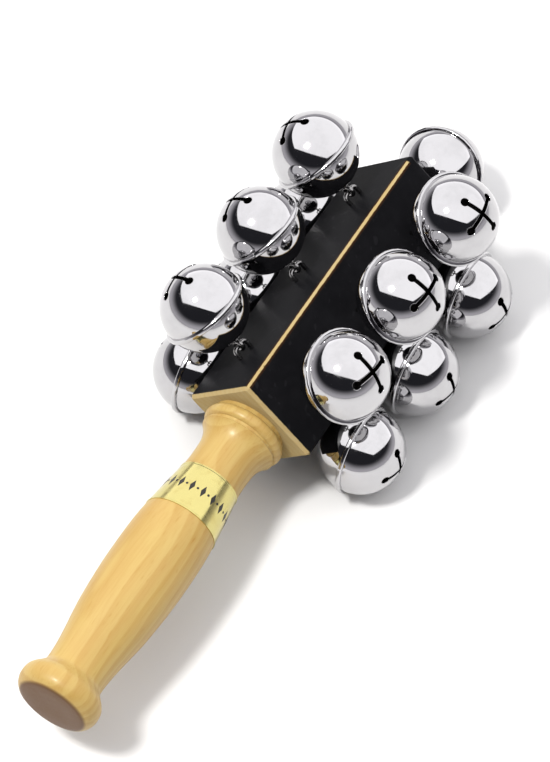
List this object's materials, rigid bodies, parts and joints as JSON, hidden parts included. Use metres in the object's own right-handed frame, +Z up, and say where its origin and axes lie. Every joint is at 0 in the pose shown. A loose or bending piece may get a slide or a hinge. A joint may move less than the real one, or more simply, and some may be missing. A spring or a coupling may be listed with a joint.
{
  "type": "sleigh bells",
  "caption": "Hand-held sleigh bells: a square black wooden block on a turned handle, with crimped chrome jingle bells on its four faces and far end.",
  "frame": {"origin": "on the table below the middle of the whole length, under the handle's axis", "axes": "+X along the handle's axis from the butt to the end bell, +Z up with one edge of the block uppermost, +Y to the left seen from the handle"},
  "size_m": [0.2388, 0.0852, 0.0652],
  "materials": {
    "handle_wood": "clear-lacquered pale hardwood, turned",
    "black_lacquer": "black lacquer over wood, bare wood along the broken edges",
    "gold_band": "polished gold-coloured band",
    "staple_wire": "bright plated wire",
    "chrome_outer": "bright plated pressed sheet",
    "chrome_inner": "bright plated pressed sheet",
    "loop_wire": "bright plated wire",
    "pellet_steel": "plain steel ball"
  },
  "bodies": {
    "root": {"handle": "handle_wood", "block": "black_lacquer", "gold_band": "gold_band", "bell_staples": "staple_wire"},
    "bell_top_left_1": {"top_left_1_outer_cup": "chrome_outer", "top_left_1_inner_cup": "chrome_inner", "top_left_1_loop": "loop_wire"},
    "pellet_top_left_1": {"top_left_1_pellet": "pellet_steel"},
    "bell_top_left_2": {"top_left_2_outer_cup": "chrome_outer", "top_left_2_inner_cup": "chrome_inner", "top_left_2_loop": "loop_wire"},
    "pellet_top_left_2": {"top_left_2_pellet": "pellet_steel"},
    "bell_top_left_3": {"top_left_3_outer_cup": "chrome_outer", "top_left_3_inner_cup": "chrome_inner", "top_left_3_loop": "loop_wire"},
    "pellet_top_left_3": {"top_left_3_pellet": "pellet_steel"},
    "bell_top_right_1": {"top_right_1_outer_cup": "chrome_outer", "top_right_1_inner_cup": "chrome_inner", "top_right_1_loop": "loop_wire"},
    "pellet_top_right_1": {"top_right_1_pellet": "pellet_steel"},
    "bell_top_right_2": {"top_right_2_outer_cup": "chrome_outer", "top_right_2_inner_cup": "chrome_inner", "top_right_2_loop": "loop_wire"},
    "pellet_top_right_2": {"top_right_2_pellet": "pellet_steel"},
    "bell_top_right_3": {"top_right_3_outer_cup": "chrome_outer", "top_right_3_inner_cup": "chrome_inner", "top_right_3_loop": "loop_wire"},
    "pellet_top_right_3": {"top_right_3_pellet": "pellet_steel"},
    "bell_bottom_right_1": {"bottom_right_1_outer_cup": "chrome_outer", "bottom_right_1_inner_cup": "chrome_inner", "bottom_right_1_loop": "loop_wire"},
    "pellet_bottom_right_1": {"bottom_right_1_pellet": "pellet_steel"},
    "bell_bottom_right_2": {"bottom_right_2_outer_cup": "chrome_outer", "bottom_right_2_inner_cup": "chrome_inner", "bottom_right_2_loop": "loop_wire"},
    "pellet_bottom_right_2": {"bottom_right_2_pellet": "pellet_steel"},
    "bell_bottom_right_3": {"bottom_right_3_outer_cup": "chrome_outer", "bottom_right_3_inner_cup": "chrome_inner", "bottom_right_3_loop": "loop_wire"},
    "pellet_bottom_right_3": {"bottom_right_3_pellet": "pellet_steel"},
    "bell_bottom_left_1": {"bottom_left_1_outer_cup": "chrome_outer", "bottom_left_1_inner_cup": "chrome_inner", "bottom_left_1_loop": "loop_wire"},
    "pellet_bottom_left_1": {"bottom_left_1_pellet": "pellet_steel"},
    "bell_bottom_left_2": {"bottom_left_2_outer_cup": "chrome_outer", "bottom_left_2_inner_cup": "chrome_inner", "bottom_left_2_loop": "loop_wire"},
    "pellet_bottom_left_2": {"bottom_left_2_pellet": "pellet_steel"},
    "bell_bottom_left_3": {"bottom_left_3_outer_cup": "chrome_outer", "bottom_left_3_inner_cup": "chrome_inner", "bottom_left_3_loop": "loop_wire"},
    "pellet_bottom_left_3": {"bottom_left_3_pellet": "pellet_steel"},
    "bell_end": {"end_outer_cup": "chrome_outer", "end_inner_cup": "chrome_inner", "end_loop": "loop_wire"},
    "pellet_end": {"end_pellet": "pellet_steel"}
  },
  "joints": [
    {"name": "top_left_1_swing", "type": "hinge", "parent": "root", "child": "bell_top_left_1", "pos_m": [0.00713, 0.01287, 0.04017], "axis": [-1, 0, 0], "range_deg": [-25, 25]},
    {"name": "top_left_1_pellet_roll", "type": "hinge", "parent": "bell_top_left_1", "child": "pellet_top_left_1", "pos_m": [0.00713, 0.0244, 0.05169], "axis": [0, 1, 0], "continuous": true},
    {"name": "top_left_2_swing", "type": "hinge", "parent": "root", "child": "bell_top_left_2", "pos_m": [0.03959, 0.01287, 0.04017], "axis": [-1, 0, 0], "range_deg": [-25, 25]},
    {"name": "top_left_2_pellet_roll", "type": "hinge", "parent": "bell_top_left_2", "child": "pellet_top_left_2", "pos_m": [0.03959, 0.0244, 0.05169], "axis": [0, 1, 0], "continuous": true},
    {"name": "top_left_3_swing", "type": "hinge", "parent": "root", "child": "bell_top_left_3", "pos_m": [0.07205, 0.01287, 0.04017], "axis": [-1, 0, 0], "range_deg": [-25, 25]},
    {"name": "top_left_3_pellet_roll", "type": "hinge", "parent": "bell_top_left_3", "child": "pellet_top_left_3", "pos_m": [0.07205, 0.0244, 0.05169], "axis": [0, 1, 0], "continuous": true},
    {"name": "top_right_1_swing", "type": "hinge", "parent": "root", "child": "bell_top_right_1", "pos_m": [0.00713, -0.01287, 0.04017], "axis": [1, 0, 0], "range_deg": [-25, 25]},
    {"name": "top_right_1_pellet_roll", "type": "hinge", "parent": "bell_top_right_1", "child": "pellet_top_right_1", "pos_m": [0.00713, -0.0244, 0.05169], "axis": [0, 1, 0], "continuous": true},
    {"name": "top_right_2_swing", "type": "hinge", "parent": "root", "child": "bell_top_right_2", "pos_m": [0.03959, -0.01287, 0.04017], "axis": [1, 0, 0], "range_deg": [-25, 25]},
    {"name": "top_right_2_pellet_roll", "type": "hinge", "parent": "bell_top_right_2", "child": "pellet_top_right_2", "pos_m": [0.03959, -0.0244, 0.05169], "axis": [0, 1, 0], "continuous": true},
    {"name": "top_right_3_swing", "type": "hinge", "parent": "root", "child": "bell_top_right_3", "pos_m": [0.07205, -0.01287, 0.04017], "axis": [1, 0, 0], "range_deg": [-25, 25]},
    {"name": "top_right_3_pellet_roll", "type": "hinge", "parent": "bell_top_right_3", "child": "pellet_top_right_3", "pos_m": [0.07205, -0.0244, 0.05169], "axis": [0, 1, 0], "continuous": true},
    {"name": "bottom_right_1_swing", "type": "hinge", "parent": "root", "child": "bell_bottom_right_1", "pos_m": [0.00713, -0.01287, 0.01443], "axis": [-1, 0, 0], "range_deg": [-65, 2]},
    {"name": "bottom_right_1_pellet_roll", "type": "hinge", "parent": "bell_bottom_right_1", "child": "pellet_bottom_right_1", "pos_m": [0.00713, -0.02917, 0.01443], "axis": [0, 1, 0], "continuous": true},
    {"name": "bottom_right_2_swing", "type": "hinge", "parent": "root", "child": "bell_bottom_right_2", "pos_m": [0.03959, -0.01287, 0.01443], "axis": [-1, 0, 0], "range_deg": [-65, 2]},
    {"name": "bottom_right_2_pellet_roll", "type": "hinge", "parent": "bell_bottom_right_2", "child": "pellet_bottom_right_2", "pos_m": [0.03959, -0.02917, 0.01443], "axis": [0, 1, 0], "continuous": true},
    {"name": "bottom_right_3_swing", "type": "hinge", "parent": "root", "child": "bell_bottom_right_3", "pos_m": [0.07205, -0.01287, 0.01443], "axis": [-1, 0, 0], "range_deg": [-65, 2]},
    {"name": "bottom_right_3_pellet_roll", "type": "hinge", "parent": "bell_bottom_right_3", "child": "pellet_bottom_right_3", "pos_m": [0.07205, -0.02917, 0.01443], "axis": [0, 1, 0], "continuous": true},
    {"name": "bottom_left_1_swing", "type": "hinge", "parent": "root", "child": "bell_bottom_left_1", "pos_m": [0.00713, 0.01287, 0.01443], "axis": [1, 0, 0], "range_deg": [-65, 2]},
    {"name": "bottom_left_1_pellet_roll", "type": "hinge", "parent": "bell_bottom_left_1", "child": "pellet_bottom_left_1", "pos_m": [0.00713, 0.02917, 0.01443], "axis": [0, 1, 0], "continuous": true},
    {"name": "bottom_left_2_swing", "type": "hinge", "parent": "root", "child": "bell_bottom_left_2", "pos_m": [0.03959, 0.01287, 0.01443], "axis": [1, 0, 0], "range_deg": [-65, 2]},
    {"name": "bottom_left_2_pellet_roll", "type": "hinge", "parent": "bell_bottom_left_2", "child": "pellet_bottom_left_2", "pos_m": [0.03959, 0.02917, 0.01443], "axis": [0, 1, 0], "continuous": true},
    {"name": "bottom_left_3_swing", "type": "hinge", "parent": "root", "child": "bell_bottom_left_3", "pos_m": [0.07205, 0.01287, 0.01443], "axis": [1, 0, 0], "range_deg": [-65, 2]},
    {"name": "bottom_left_3_pellet_roll", "type": "hinge", "parent": "bell_bottom_left_3", "child": "pellet_bottom_left_3", "pos_m": [0.07205, 0.02917, 0.01443], "axis": [0, 1, 0], "continuous": true},
    {"name": "end_swing", "type": "hinge", "parent": "root", "child": "bell_end", "pos_m": [0.09175, 0, 0.0273], "axis": [0, 1, 0], "range_deg": [-50, 10]},
    {"name": "end_pellet_roll", "type": "hinge", "parent": "bell_end", "child": "pellet_end", "pos_m": [0.10587, 0, 0.01915], "axis": [1, 0, 0], "continuous": true}
  ]
}
